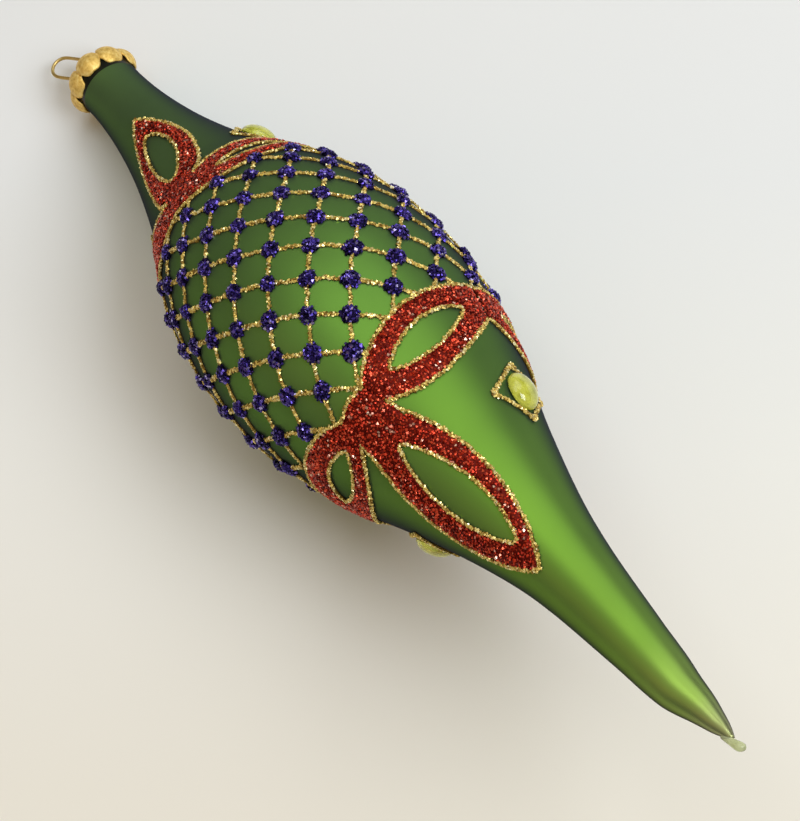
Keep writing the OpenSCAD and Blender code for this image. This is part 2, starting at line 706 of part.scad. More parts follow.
glass_shell();
ornament_cap();
hanger_wire();
net_lines_left();
net_lines_right();
dot_ring(0);  // dot_ring_01
dot_ring(1);  // dot_ring_02
dot_ring(2);  // dot_ring_03
dot_ring(3);  // dot_ring_04
dot_ring(4);  // dot_ring_05
dot_ring(5);  // dot_ring_06
dot_ring(6);  // dot_ring_07
dot_ring(7);  // dot_ring_08
dot_ring(8);  // dot_ring_09
dot_ring(9);  // dot_ring_10
dot_ring(10);  // dot_ring_11
bow_red(low_bow, low_turn);  // lower_bow_front
bow_red(low_back_bow, low_turn + half_turn);  // lower_bow_back
bow_red(up_bow, up_turn);  // upper_bow_front
bow_red(up_back_bow, up_turn + half_turn);  // upper_bow_back
bow_edging(low_bow, low_turn);  // lower_edging_front
bow_edging(low_back_bow, low_turn + half_turn);  // lower_edging_back
bow_edging(up_bow, up_turn);  // upper_edging_front
bow_edging(up_back_bow, up_turn + half_turn);  // upper_edging_back
jewel_bed(low_jewel_at[0], low_jewel_turn[0]);  // jewel_bed_lower_right
jewel_bed(low_jewel_at[1], low_jewel_turn[1]);  // jewel_bed_lower_left
jewel_bed(up_jewel_at, up_jewel_turn);  // jewel_bed_upper_right
jewel_bed(up_jewel_at, up_jewel_turn + half_turn);  // jewel_bed_upper_left
jewel(low_jewel_at[0], low_jewel_turn[0]);  // jewel_lower_right
jewel(low_jewel_at[1], low_jewel_turn[1]);  // jewel_lower_left
jewel(up_jewel_at, up_jewel_turn);  // jewel_upper_right
jewel(up_jewel_at, up_jewel_turn + half_turn);  // jewel_upper_left
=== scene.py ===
import math

import bpy
import numpy as np
from mathutils import Matrix, Vector


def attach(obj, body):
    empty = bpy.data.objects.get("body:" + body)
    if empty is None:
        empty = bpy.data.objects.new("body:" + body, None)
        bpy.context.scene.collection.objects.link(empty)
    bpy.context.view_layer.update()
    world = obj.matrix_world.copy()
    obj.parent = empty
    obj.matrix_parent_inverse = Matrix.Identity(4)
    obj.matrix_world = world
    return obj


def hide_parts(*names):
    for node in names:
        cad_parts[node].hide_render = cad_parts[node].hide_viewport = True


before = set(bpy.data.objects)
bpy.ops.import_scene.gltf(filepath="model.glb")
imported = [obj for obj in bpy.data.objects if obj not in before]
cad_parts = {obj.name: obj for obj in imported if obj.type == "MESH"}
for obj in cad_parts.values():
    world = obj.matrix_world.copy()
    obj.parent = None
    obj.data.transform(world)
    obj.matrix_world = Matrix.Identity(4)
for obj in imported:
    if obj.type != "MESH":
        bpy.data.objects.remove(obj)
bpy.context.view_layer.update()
scene = bpy.context.scene
scene.view_settings.view_transform = "Standard"

# Camera: it looks steeply down on the lying ornament from the side of its tip, near enough
# for the tip to look a little larger than the neck.
camera_place = Vector((0.22000, -0.03801, 0.63054))
camera_forward = Vector((-0.3293, 0.0562, -0.9425)).normalized()
camera_top = Vector((-0.6965, 0.6595, 0.2828))
camera_right = camera_forward.cross(camera_top).normalized()
camera_top = camera_right.cross(camera_forward)
camera = bpy.data.objects.new("camera", bpy.data.cameras.new("camera"))
camera.matrix_world = Matrix((camera_right, camera_top, -camera_forward)).transposed().to_4x4()
camera.location = camera_place
camera.data.sensor_fit = "HORIZONTAL"
camera.data.sensor_width = 36
camera.data.lens = 135
camera.data.clip_start = 0.01
scene.collection.objects.link(camera)
scene.camera = camera

# Table: a plain pale sheet under the ornament, lit by a soft window on the right, a pale ceiling
# and wall above, and a little warm light from the near side of the room.
table_span, table_drop = 6.0, 5e-5
table_corners = ((-1, -1), (1, -1), (1, 1), (-1, 1))
table_mesh = bpy.data.meshes.new("table")
table_mesh.from_pydata(
    [(x * table_span, y * table_span, -table_drop) for x, y in table_corners], [], [(0, 1, 2, 3)])
table = bpy.data.objects.new("table", table_mesh)
scene.collection.objects.link(table)


def new_finish(name):
    """A new finish with its nodes and its shader."""
    finish = bpy.data.materials.new(name)
    finish.use_nodes = True
    return finish, finish.node_tree, finish.node_tree.nodes["Principled BSDF"]


def split_place(tree, measure="Object"):
    """The X, Y and Z of each place on a surface."""
    where = tree.nodes.new("ShaderNodeTexCoord")
    split = tree.nodes.new("ShaderNodeSeparateXYZ")
    tree.links.new(where.outputs[measure], split.inputs["Vector"])
    return split


def mottle(tree, scale, detail):
    """Cloudy noise in the piece's own measure."""
    where = tree.nodes.new("ShaderNodeTexCoord")
    noise = tree.nodes.new("ShaderNodeTexNoise")
    noise.inputs["Scale"].default_value = scale
    noise.inputs["Detail"].default_value = detail
    tree.links.new(where.outputs["Object"], noise.inputs["Vector"])
    return noise.outputs["Fac"]


def carried(tree, value, span=(0.0, 1.0), result=(0.0, 1.0)):
    """A value's own span carried over to another one."""
    carry = tree.nodes.new("ShaderNodeMapRange")
    for socket, number in zip(("From Min", "From Max", "To Min", "To Max"), (*span, *result)):
        carry.inputs[socket].default_value = number
    tree.links.new(value, carry.inputs["Value"])
    return carry.outputs["Result"]


def summed(tree, value, share, base):
    """A share of one value on top of another."""
    total = tree.nodes.new("ShaderNodeMath")
    total.operation = "MULTIPLY_ADD"
    total.inputs[1].default_value = share
    tree.links.new(value, total.inputs[0])
    tree.links.new(base, total.inputs[2])
    return total.outputs["Value"]


def colour_steps(tree, value, steps):
    """A colour that follows a value through (place, colour) steps."""
    ramp = tree.nodes.new("ShaderNodeValToRGB")
    band = ramp.color_ramp
    while len(band.elements) < len(steps):
        band.elements.new(0.5)
    for element, (place, colour) in zip(band.elements, steps):
        element.position = place
        element.color = (*colour, 1)
    tree.links.new(value, ramp.inputs["Fac"])
    return ramp.outputs["Color"]


def set_shader(shader, values):
    """Values that are the same all over a surface."""
    for socket, value in values.items():
        shader.inputs[socket].default_value = value


table_finish, tree, shader = new_finish("pale_table")
table_place = split_place(tree)
table_slant = tree.nodes.new("ShaderNodeMath")
table_slant.operation = "SUBTRACT"
tree.links.new(table_place.outputs["X"], table_slant.inputs[0])
tree.links.new(table_place.outputs["Y"], table_slant.inputs[1])
# The sheet's colour is painted along a slant: warmer towards +X and -Y, partly its own tone and partly
# painted warm shade, and a little lighter in the middle as painted light that makes up for the lamps'
# falloff.
table_sweep = carried(tree, table_slant.outputs["Value"], (-0.08, 0.13), (0.0, 0.9))
table_cloud = mottle(tree, 9, 3)
table_tone = colour_steps(tree, summed(tree, table_cloud, 0.1, table_sweep), [
    (0.05, (0.80, 0.81, 0.83)), (0.45, (0.85, 0.84, 0.82)), (0.95, (0.85, 0.81, 0.74))])
tree.links.new(table_tone, shader.inputs["Base Color"])
set_shader(shader, {"Roughness": 0.7, "Specular IOR Level": 0.2})
table_mesh.materials.append(table_finish)

lamp_aim = Vector((0, 0, 0.03))
daylight, warm_light = (0.90, 0.95, 1.0), (1.0, 0.48, 0.28)


def soft_lamp(name, place, size, power, colour):
    """A square soft lamp at a place, turned to the ornament."""
    lamp = bpy.data.lights.new(name, "AREA")
    lamp.shape = "SQUARE"
    lamp.size = size
    lamp.energy = power
    lamp.color = colour
    holder = bpy.data.objects.new(name, lamp)
    holder.location = place
    holder.rotation_mode = "QUATERNION"
    holder.rotation_quaternion = (lamp_aim - Vector(place)).to_track_quat("-Z", "Y")
    scene.collection.objects.link(holder)


window_way, window_far = Vector((0.50, 0.367, 0.785)).normalized(), 1.5
soft_lamp("window", window_way * window_far, 0.8, 14.6, daylight)
soft_lamp("ceiling", (-0.50, 0.13, 1.50), 0.8, 3.5, daylight)
soft_lamp("wall", (-0.52, 1.02, 0.98), 1.05, 4.2, daylight)
soft_lamp("near_side", (-0.52, -1.16, 0.80), 0.9, 0.9, warm_light)

room = bpy.data.worlds.new("room")
room.use_nodes = True
scene.world = room
tree = room.node_tree
room_tone = colour_steps(tree, split_place(tree, "Generated").outputs["Z"], [
    (0.0, (0.07, 0.063, 0.045)), (0.5, (0.205, 0.182, 0.125)), (1.0, (0.56, 0.50, 0.37))])
tree.links.new(room_tone, tree.nodes["Background"].inputs["Color"])
tree.nodes["Background"].inputs["Strength"].default_value = 1.0

# Glass body: one bubble of thin glass blown into a neck, an olive and a long drawn-out point.
# It is silvered inside, lacquered satin green outside, and melted shut in a bare pip.
MILLIMETRE = 0.001
lean = math.radians(15.0299)
rim_place = np.array([-106.925, 0.0, 8.1693])
stations = np.array([
    (0, 7.3), (8, 7.3), (26, 9.7), (48, 16.2), (73, 26.7), (100, 30), (128, 25.5),
    (153, 16.6), (175, 10.3), (203, 6.4), (215, 5.1), (231, 1.2)])
station_at, station_r = stations.T
spans = np.diff(station_at)
chords = np.diff(station_r) / spans
station_slopes = np.concatenate([
    [0], (chords[:-1] * spans[1:] + chords[1:] * spans[:-1]) / (spans[1:] + spans[:-1]), chords[-1:]])


def lie(points):
    """Points in the ornament's own measure, millimetres from the rim, as they lie on the table."""
    x, y, at = np.moveaxis(np.asarray(points, float), -1, 0)
    across = x * math.sin(lean) + at * math.cos(lean)
    height = at * math.sin(lean) - x * math.cos(lean)
    return (np.stack([across, y, height], -1) + rim_place) * MILLIMETRE


def glass_outline(at):
    """Radius and slope of the glass at a distance from the rim, smooth through the stations."""
    at = np.asarray(at, float)
    i = np.clip(np.searchsorted(station_at, at, side="right") - 1, 0, len(spans) - 1)
    f = (at - station_at[i]) / spans[i]
    s0, s1 = station_slopes[i], station_slopes[i + 1]
    radius = (station_r[i] * (1 + 2 * f) * (1 - f) ** 2 + station_r[i + 1] * f * f * (3 - 2 * f)
              + spans[i] * (s0 * f * (1 - f) ** 2 - s1 * f * f * (1 - f)))
    slope = 6 * f * (1 - f) * chords[i] + s0 * (1 - f) * (1 - 3 * f) + s1 * f * (3 * f - 2)
    return radius, slope


def skin(rows, closed=False, ends=True):
    """Points and faces of a skin over rows, each a ring of points. A closed one joins its ends."""
    n, m = rows.shape[:2]
    i = np.arange(n if closed else n - 1)[:, None]
    k = np.arange(m)[None, :]
    i2, k2 = (i + 1) % n, (k + 1) % m
    faces = np.stack([i * m + k, i * m + k2, i2 * m + k2, i2 * m + k], -1).reshape(-1, 4).tolist()
    if ends and not closed:
        faces += [list(range(m))[::-1], [(n - 1) * m + k for k in range(m)]]
    return rows.reshape(-1, 3), faces


class Pile:
    """Parts of one piece, gathered into a single mesh."""

    def __init__(self):
        self.points = []
        self.faces = []
        self.tone = []
        self.finish = []
        self.smooth = []
        self.count = 0

    def add(self, points, faces, tone=0.0, finish=0, smooth=True):
        self.points.append(np.asarray(points, float))
        if isinstance(faces, np.ndarray):
            self.faces += (faces + self.count).tolist()
        else:
            self.faces += [[corner + self.count for corner in face] for face in faces]
        self.tone.append(np.broadcast_to(tone, len(faces)))
        self.finish.append(np.broadcast_to(finish, len(faces)))
        self.smooth.append(np.broadcast_to(smooth, len(faces)))
        self.count += len(points)

    def piece(self, name, *finishes):
        mesh = bpy.data.meshes.new(name)
        mesh.from_pydata(lie(np.concatenate(self.points)).tolist(), [], self.faces)
        mesh.polygons.foreach_set("material_index", np.concatenate(self.finish).astype(np.int32))
        mesh.polygons.foreach_set("use_smooth", np.concatenate(self.smooth))
        tone = mesh.attributes.new("tone", "FLOAT", "FACE")
        tone.data.foreach_set("value", np.concatenate(self.tone).astype(np.float32))
        for finish in finishes:
            mesh.materials.append(finish)
        mesh.update()
        made = bpy.data.objects.new(name, mesh)
        scene.collection.objects.link(made)
        return made


glass_len, glass_sides = 231.0, 192
neck_len, bulge_at, inner_end = 8.0, 100.0, 223.0
neck_wall, belly_wall, taper_wall = 3.2, 0.6, 0.4
bare_and_shaded_rows = 6
outer_at = np.concatenate([np.linspace(0, neck_len, 12), np.linspace(neck_len, glass_len, 250)[1:]])
outer_r = glass_outline(outer_at)[0]
inner_at = np.linspace(inner_end, 0, 90)
wall = np.interp(
    inner_at, [0, neck_len, bulge_at, inner_end], [neck_wall, neck_wall, belly_wall, taper_wall])
inner_r = glass_outline(inner_at)[0] - wall
line_at = np.concatenate([outer_at, glass_len + np.array([0.2, 0.3, 0.3])])
line_r = np.concatenate([outer_r, [1.1, 0.85, 0.01]])
inside_at = np.concatenate([[inner_end], inner_at, [0.0]])
inside_r = np.concatenate([[0.01], inner_r, [station_r[0]]])
pip_at = np.array([-1.2, -0.6, 0.0, 0.6, 1.2, 1.8, 2.4, 2.9, 3.3, 3.65, 3.9, 4.0])
pip_r = np.array([0.55, 0.66, 0.74, 0.80, 0.86, 0.95, 1.04, 1.05, 0.95, 0.72, 0.40, 0.02])
pip_lean, pip_off = 0.25, 0.75
bend_from, bend_over, bend_power, bend_by = 178, 38, 1.2, 0.8
ease_from, ease_over, ease_share = 216, 9, 0.8
slant_from, slant_over, slant_by = 224, 7, 0.55
lip_from, lip_over, lip_by = 227.5, 3.5, 0.35


def all_round(count):
    """Even angles round a full turn."""
    return np.linspace(0, 2 * math.pi, count, endpoint=False)


def turned(at, radius, sides):
    """Rows of points round the axis."""
    angle = all_round(sides)
    ring = np.stack([np.cos(angle), np.sin(angle), np.zeros_like(angle)], -1)
    return radius[:, None, None] * ring + at[:, None, None] * np.array([0, 0, 1.0])


def passed(at, start, over):
    """How much of a stretch lies behind a place, from 0 to 1."""
    return np.clip((at - start) / over, 0, 1)


def drawn_tip(rows):
    """The point was pulled a little aside while it was soft, and its lip shrank and leaned."""
    at = rows[..., 2]
    ease = passed(at, ease_from, ease_over)
    bend = bend_by * passed(at, bend_from, bend_over) ** bend_power
    moved = rows.copy()
    moved[..., :2] *= (1 - lip_by * passed(at, lip_from, lip_over) ** 2)[..., None]
    moved[..., 2] += slant_by * moved[..., 1] * passed(at, slant_from, slant_over) ** 2
    moved[..., 1] -= bend * (1 - ease_share * ease * ease * (3 - 2 * ease))
    return moved


lacquer_slot, pip_slot, silver_slot, bare_neck_shade_slot = range(4)
glass = Pile()
outside, outside_faces = skin(drawn_tip(turned(line_at, line_r, glass_sides)), ends=False)
# The first rows, under the cap, take the bare neck finish: bare glass painted near-black, as painted
# shade in the gap under the petals.
bare_and_shaded_faces = np.arange(len(outside_faces)) < bare_and_shaded_rows * glass_sides
glass.add(outside, outside_faces, 0.0, np.where(bare_and_shaded_faces, bare_neck_shade_slot, lacquer_slot))
pip = turned(glass_len + pip_at, pip_r, glass_sides)
pip[..., 1] += (pip_lean * pip_at - pip_off)[:, None]
glass.add(*skin(pip, ends=False), 0.0, pip_slot)
glass.add(*skin(drawn_tip(turned(inside_at, inside_r, glass_sides)), ends=False), 0.0, silver_slot)


def grain_relief(finish, scale, detail, strength, distance):
    """Fine relief on a finish."""
    tree = finish.node_tree
    relief = tree.nodes.new("ShaderNodeBump")
    relief.inputs["Strength"].default_value = strength
    relief.inputs["Distance"].default_value = distance
    tree.links.new(mottle(tree, scale, detail), relief.inputs["Height"])
    tree.links.new(relief.outputs["Normal"], tree.nodes["Principled BSDF"].inputs["Normal"])


lacquer, tree, shader = new_finish("green_lacquer")
lacquer_cloud = mottle(tree, 38, 4)
lacquer_tone = colour_steps(tree, lacquer_cloud, [
    (0.25, (0.81, 0.84, 0.80)), (0.5, (0.905, 0.92, 0.88)), (0.8, (1.0, 1.0, 1.0))])
lacquer_along = split_place(tree).outputs["X"]
# Painted light along the ornament: the neck is painted darker and greyer as a painted reflection of the
# dark room, the steps along the olive and point are set to the brightness of the highlight band there,
# and the last stretch of the point turns pale as a painted highlight.
lacquer_painted_light = colour_steps(tree, carried(tree, lacquer_along, (-0.107, 0.120)), [
    (0.0, (0.265, 0.58, 0.078)), (0.20, (0.30, 0.67, 0.070)), (0.34, (0.32, 0.77, 0.066)),
    (0.45, (0.31, 0.77, 0.062)), (0.57, (0.262, 0.635, 0.041)), (0.75, (0.36, 0.83, 0.048)),
    (0.87, (0.44, 0.93, 0.064)), (0.94, (0.58, 1.0, 0.12)), (1.0, (0.92, 1.0, 0.38))])
lacquer_mix = tree.nodes.new("ShaderNodeMix")
lacquer_mix.data_type = "RGBA"
lacquer_mix.blend_type = "MULTIPLY"
lacquer_mix.inputs["Factor"].default_value = 1.0
tree.links.new(lacquer_painted_light, lacquer_mix.inputs["A"])
tree.links.new(lacquer_tone, lacquer_mix.inputs["B"])
tree.links.new(lacquer_mix.outputs["Result"], shader.inputs["Base Color"])
lacquer_thin = carried(tree, lacquer_along, (0.092, 0.118))
lacquer_gloss = carried(tree, lacquer_cloud, result=(0.42, 0.50))
tree.links.new(summed(tree, lacquer_thin, -0.20, lacquer_gloss), shader.inputs["Roughness"])
set_shader(shader, {
    "Metallic": 0.9, "Specular Tint": (0.10, 0.12, 0.10, 1),
    "Coat Weight": 1.0, "Coat IOR": 1.02, "Coat Roughness": 0.5, "Coat Tint": (0.58, 0.51, 0.74, 1),
    "Sheen Weight": 0.06, "Sheen Roughness": 1.0, "Sheen Tint": (0.46, 0.46, 0.86, 1)})
grain_relief(lacquer, 2600, 2, 0.05, 0.0001)


def clouded_finish(name, scale, detail, steps, values):
    """A finish whose colour drifts in clouds through its steps."""
    finish, tree, shader = new_finish(name)
    tree.links.new(colour_steps(tree, mottle(tree, scale, detail), steps), shader.inputs["Base Color"])
    set_shader(shader, values)
    return finish


bare_glass = clouded_finish(
    "bare_glass", 420, 2, [(0.3, (0.62, 0.68, 0.36)), (0.7, (0.74, 0.78, 0.48))],
    {"Roughness": 0.12, "Transmission Weight": 0.55, "IOR": 1.5})
silvering = clouded_finish(
    "silvering", 90, 4, [(0.3, (0.52, 0.52, 0.50)), (0.75, (0.72, 0.72, 0.70))],
    {"Metallic": 1.0, "Roughness": 0.22})
# Bare glass on the neck under the cap, painted near-black: painted shade in the gap between the petals
# and the neck.
bare_neck_painted_shade = clouded_finish(
    "bare_neck_painted_shade", 300, 3, [(0.3, (0.004, 0.005, 0.003)), (0.75, (0.012, 0.014, 0.009))],
    {"Roughness": 0.35, "Specular IOR Level": 0.2})

glass_body = glass.piece("glass_body", lacquer, bare_glass, silvering, bare_neck_painted_shade)
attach(glass_body, "ornament")
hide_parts("glass_shell")

# Net lines: glue drawn on the glass by hand in two sets of crossing lines, then dusted with
# coarse gold glitter. Each stretch runs from one crossing to the next.
glue_gap = 0.18
glue_base = glue_gap / 2
dots_round, ring_count = 16, 11
net_at, ring_pitch, ring_sway = 67.0, 5.76, 1.7
net_turn, net_twist = -1.85, 1.34
dot_step = 360 / dots_round
dot_d, dot_h, dot_cover = 4.2, 1.3, 0.5
line_w, line_h, line_gap, line_sway = 1.0, 0.45, 0.15, 0.35
line_shares, line_points, shortest_line = 40, 9, 1.2
edge_w, meet_gap = 0.9, 0.6
climb_power, eye_power = 1.6, 0.8

# The net stops at the bows. Their sizes are in millimetres and degrees, most of them in pairs for
# the two hands: the eyes' rise and climb from the knot, their slits, the long loop and its hollow.
lower_bow = dict(
    at=136.0, way=1, turn=206.0, knot_turn=10.0, knot_reach=5.5,
    rise=(3.0, 2.3), climb=(7.0, 1.5), half=(2.2, 8.0, 4.0), slit=(3.4, 3.0),
    slit_shift=(0.0, 1.1), span=((0.2, 0.825), (0.15, 0.64)),
    loop_from=4.6, loop_len=40.0, loop_half=(9.3, 8.8), loop_rim=(3.0, 7.0), hollow_half=(3.8, 4.8),
    power=0.75, hidden=0.2, swing=1.3, hollow_power=0.75, hollow_swing=-0.3, spill=(0.0, 0.0, 0.0))
upper_bow = dict(
    at=57.0, way=-1, turn=196.0, knot_turn=9.0, knot_reach=5.8,
    rise=(2.4, 2.4), climb=(0.0, 0.0), half=(2.4, 4.6, 3.4), slit=(1.7, 1.7),
    slit_shift=(0.0, 0.0), span=((0.2, 0.825), (0.55, 0.85)),
    loop_from=3.0, loop_len=29.0, loop_half=(7.6, 7.6), loop_rim=(1.9, 7.3), hollow_half=(3.7, 3.7),
    power=0.8, hidden=0.34, swing=-1.3, hollow_power=0.6, hollow_swing=-0.9, spill=(2.9, 0.9, 1.1))


def on_glass(places, lift=0.0):
    """Points at [at, turn] places raised square to the glass, with the ways up, round and along."""
    at, turn = np.moveaxis(np.asarray(places, float), -1, 0)
    radius, slope = glass_outline(at)
    n = 1 / np.sqrt(1 + slope ** 2)
    c, s = np.cos(np.radians(turn)), np.sin(np.radians(turn))
    up = np.stack([n * c, n * s, -slope * n], -1)
    spot = np.stack([radius * c, radius * s, at], -1) + up * np.asarray(lift)[..., None]
    return spot, up, np.stack([-s, c, 0 * s], -1), np.stack([slope * n * c, slope * n * s, n], -1)


def degrees_of(length, at):
    """Turn taken up by a length round the glass."""
    return np.degrees(length / glass_outline(at)[0])


def eye_stop(bow):
    """Turn at which an eye ends, short of the next bow's."""
    return 90 - degrees_of(meet_gap / 2, bow["at"])


def eye_mid(bow, hand, x):
    """Middle line of an eye, from the knot at 0 to the end at 1."""
    return -bow["rise"][hand] - bow["climb"][hand] * np.clip(x, 0, 1) ** climb_power


def swell(f, power):
    """A rounded bulge between 0 and 1."""
    return np.maximum(0, np.sin(math.pi * np.asarray(f, float))) ** power


def eye_half(bow, x):
    """Half width of an eye, from the knot at 0 to the end at 1."""
    knot, middle, end = bow["half"]
    rest = knot + (end - knot) * x
    return rest + (middle - rest) * swell(x, eye_power)


def knot_edge(bow, f):
    """Edge of the knot towards the net, from one side at -1 to the other at 1."""
    hand = 0 if f < 0 else 1
    side = eye_mid(bow, hand, 0.0) - eye_half(bow, 0.0)
    return -bow["knot_reach"] + (side + bow["knot_reach"]) * abs(f)


def net_edge(bow, turn):
    """Where a bow ends towards the net, at a turn."""
    halves = round((turn - bow["turn"]) / 180)
    d = (turn - bow["turn"] - 180 * halves) * (1 if halves % 2 == 0 else -1)
    hand = 0 if d < 0 else 1
    if abs(d) < bow["knot_turn"]:
        return bow["at"] + bow["way"] * knot_edge(bow, d / bow["knot_turn"])
    x = min(1, (abs(d) - bow["knot_turn"]) / (eye_stop(bow) - bow["knot_turn"]))
    return bow["at"] + bow["way"] * (eye_mid(bow, hand, x) - eye_half(bow, x))


def clear_of_bows(at, turn, room):
    """Whether a place has room between the bows' edgings."""
    return (at + room + edge_w / 2 < net_edge(lower_bow, turn)
            and at - room - edge_w / 2 > net_edge(upper_bow, turn))


def ring_at(i):
    """Place of a ring of crossings along the axis."""
    return net_at + ring_pitch * i - ring_sway * math.sin(math.pi * i / (ring_count - 1))


def dot_turn(i, j):
    """Turn of a crossing. Every other ring is shifted by half a step."""
    return net_turn + dot_step * (j + (i % 2) / 2) - net_twist * i


def dot_fits(i, j):
    """Whether a crossing has room for its dot."""
    at, turn = ring_at(i), dot_turn(i, j)
    side = degrees_of(dot_d / 2, at)
    return (0 <= i < ring_count and clear_of_bows(at, turn, dot_d / 2 + line_gap)
            and clear_of_bows(at, turn + side, dot_d / 4)
            and clear_of_bows(at, turn - side, dot_d / 4))


def unit(ways):
    """Ways of length one."""
    return ways / np.linalg.norm(ways, axis=1)[:, None]


def ridge(places, width, height, closed):
    """A rounded bead of glue along a line of places."""
    spot, up, _, _ = on_glass(places, np.full(len(places), glue_base))
    ahead = np.roll(spot, -1, 0) - np.roll(spot, 1, 0)
    if not closed:
        ahead[0], ahead[-1] = spot[1] - spot[0], spot[-1] - spot[-2]
    side = unit(np.cross(up, ahead))
    arc = np.linspace(0, math.pi, 6)
    width, height = (np.broadcast_to(v, len(places)).astype(float) for v in (width, height))
    rows = (spot[:, None] + side[:, None] * (np.cos(arc) * -0.5)[None, :, None] * width[:, None, None]
            + up[:, None] * np.sin(arc)[None, :, None] * height[:, None, None])
    return skin(rows, closed)


grain_foot, grain_thick = 1.15, 0.7
grain_corners = np.array(
    [(math.cos(a), math.sin(a), 0.5) for a in np.radians([0, 120, 240])]
    + [(grain_foot * math.cos(a), grain_foot * math.sin(a), -0.5) for a in np.radians([60, 180, 300])])
grain_faces = np.array([
    (0, 1, 2), (5, 4, 3), (0, 3, 1), (1, 4, 2), (2, 5, 0), (3, 4, 1), (4, 5, 2), (5, 3, 0)])


def grains(pile, spots, ups, size, tilt, draw, tones):
    """Chips of glitter strewn at spots, each lying its own way."""
    n = len(spots)
    up = unit(ups + math.tan(math.radians(tilt)) * draw.uniform(-1, 1, (n, 3)))
    side = unit(np.cross(up, draw.normal(size=(n, 3))))
    other = np.cross(up, side)
    corner = grain_corners * np.array([1, 1, grain_thick]) + draw.uniform(-0.2, 0.2, (n, 6, 3))
    corner *= (size * draw.uniform(0.75, 1.25, n))[:, None, None] / 2
    points = (spots[:, None] + corner[..., :1] * side[:, None] + corner[..., 1:2] * other[:, None]
              + corner[..., 2:] * up[:, None]).reshape(-1, 3)
    faces = (np.arange(n)[:, None, None] * 6 + grain_faces).reshape(-1, 3)
    pile.add(points, faces, np.repeat(tones, len(grain_faces)), 0, False)


def glitter_finish(name, steps, metal, gloss):
    """Foil chips in a lacquer: every chip its own shade, the glue below them dark."""
    finish, tree, shader = new_finish(name)
    chip = tree.nodes.new("ShaderNodeAttribute")
    chip.attribute_name = "tone"
    tree.links.new(colour_steps(tree, chip.outputs["Fac"], steps), shader.inputs["Base Color"])
    tree.links.new(carried(tree, chip.outputs["Fac"], result=gloss), shader.inputs["Roughness"])
    set_shader(shader, {"Metallic": metal})
    return finish


gold_glitter = glitter_finish("gold_glitter", [
    (0.0, (0.12, 0.055, 0.008)), (0.15, (0.30, 0.17, 0.025)), (0.5, (0.78, 0.58, 0.14)),
    (0.85, (0.94, 0.77, 0.32)), (1.0, (1.00, 0.93, 0.60))], 0.6, (0.42, 0.18))
gold_glue_tone = 0.08
gold_chip, gold_tilt = 0.62, 35
bead_step, bead_broad, bead_high = 0.55, 0.8, 0.7
chip_room, chip_look, chip_rise, chip_round = 0.42, 0.2, 0.75, 1.6


def run_of(points):
    """Length of the way from the first point to each of them."""
    return np.concatenate([[0], np.cumsum(np.linalg.norm(np.diff(points, axis=0), axis=1))])


def on_run(walk, run, points):
    """Points of a plane line at lengths of the way."""
    return np.stack([np.interp(walk, run, points[:, 0]), np.interp(walk, run, points[:, 1])], -1)


def bead_line(pile, places, width, height, draw, closed=False, grain=gold_chip, thickness=1.0):
    """A bead of glue along places, and the gold chips that stick to it."""
    if closed:
        places = np.concatenate([places, places[:1]])
    run = run_of(on_glass(places)[0])
    steps = max(3, int(run[-1] / bead_step))
    fine = on_run(np.linspace(0, run[-1], steps + 1), run, places)
    if closed:
        fine = fine[:-1]
    wobble = draw.uniform(0.75, 1.1, len(fine))
    bead = ridge(fine, width * bead_broad * wobble, height * bead_high * wobble, closed)
    pile.add(*bead, gold_glue_tone)
    count = int(run[-1] * width * thickness / (chip_room * grain ** 2)) + 2
    along = (np.arange(count) + draw.uniform(0, 1, count)) / count * run[-1]
    spot, up, _, _ = on_glass(on_run(along, run, places))
    ahead = on_glass(on_run(along + chip_look, run, places))[0]
    behind = on_glass(on_run(along - chip_look, run, places))[0]
    side = np.cross(up, ahead - behind)
    side /= np.linalg.norm(side, axis=1)[:, None] + 1e-9
    off = draw.uniform(-0.5, 0.5, count)
    lift = glue_base + height * chip_rise * np.sqrt(1 - (chip_round * off) ** 2)
    spots = spot + side * (off * width)[:, None] + up * lift[:, None]
    tones = draw.beta(1.3, 1.4, count) * 0.93 + 0.07
    grains(pile, spots, up + side * off[:, None], grain, gold_tilt, draw, tones)


def net_stretch(i, j, way):
    """One stretch of line from a crossing to the next ring, or None where a bow covers it."""
    start = np.array([ring_at(i), dot_turn(i, j)])
    end = np.array([ring_at(i + 1), dot_turn(i, j) + way * dot_step / 2 - net_twist])
    full = np.linalg.norm(on_glass(end)[0] - on_glass(start)[0])
    shifted = i % 2 == 1
    after = j + ((1 if shifted else 0) if way > 0 else (0 if shifted else -1))
    stay, cross_stay = (dot_d / 2 - dot_cover) / full, (line_w + line_gap) / full
    shares = [k / line_shares for k in range(line_shares + 1)]
    open_shares = [f for f in shares if clear_of_bows(*(start + (end - start) * f), -edge_w / 2)]
    if len(open_shares) < 2:
        return None
    low = max(stay if dot_fits(i, j) else cross_stay / 2, open_shares[0])
    high = min(1 - (stay if dot_fits(i + 1, after) else cross_stay / 2), open_shares[-1])
    if (high - low) * full < shortest_line:
        return None
    return start + (end - start) * np.linspace(low, high, line_points)[:, None]


for way, hand, width in ((1, "left", 0.75), (-1, "right", 0.9)):
    draw = np.random.default_rng(40 + way)
    pile = Pile()
    for i in range(-1, ring_count):
        for j in range(dots_round):
            places = net_stretch(i, j, way)
            if places is not None:
                sway = line_sway * np.sin(np.linspace(0, math.pi, line_points)) * draw.uniform(-1, 1)
                places[:, 1] += degrees_of(sway, places[:, 0])
                bead_line(pile, places, width, line_h, draw)
    lines = pile.piece("gold_lines_" + hand, gold_glitter)
    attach(lines, "ornament")
    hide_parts("net_lines_" + hand)

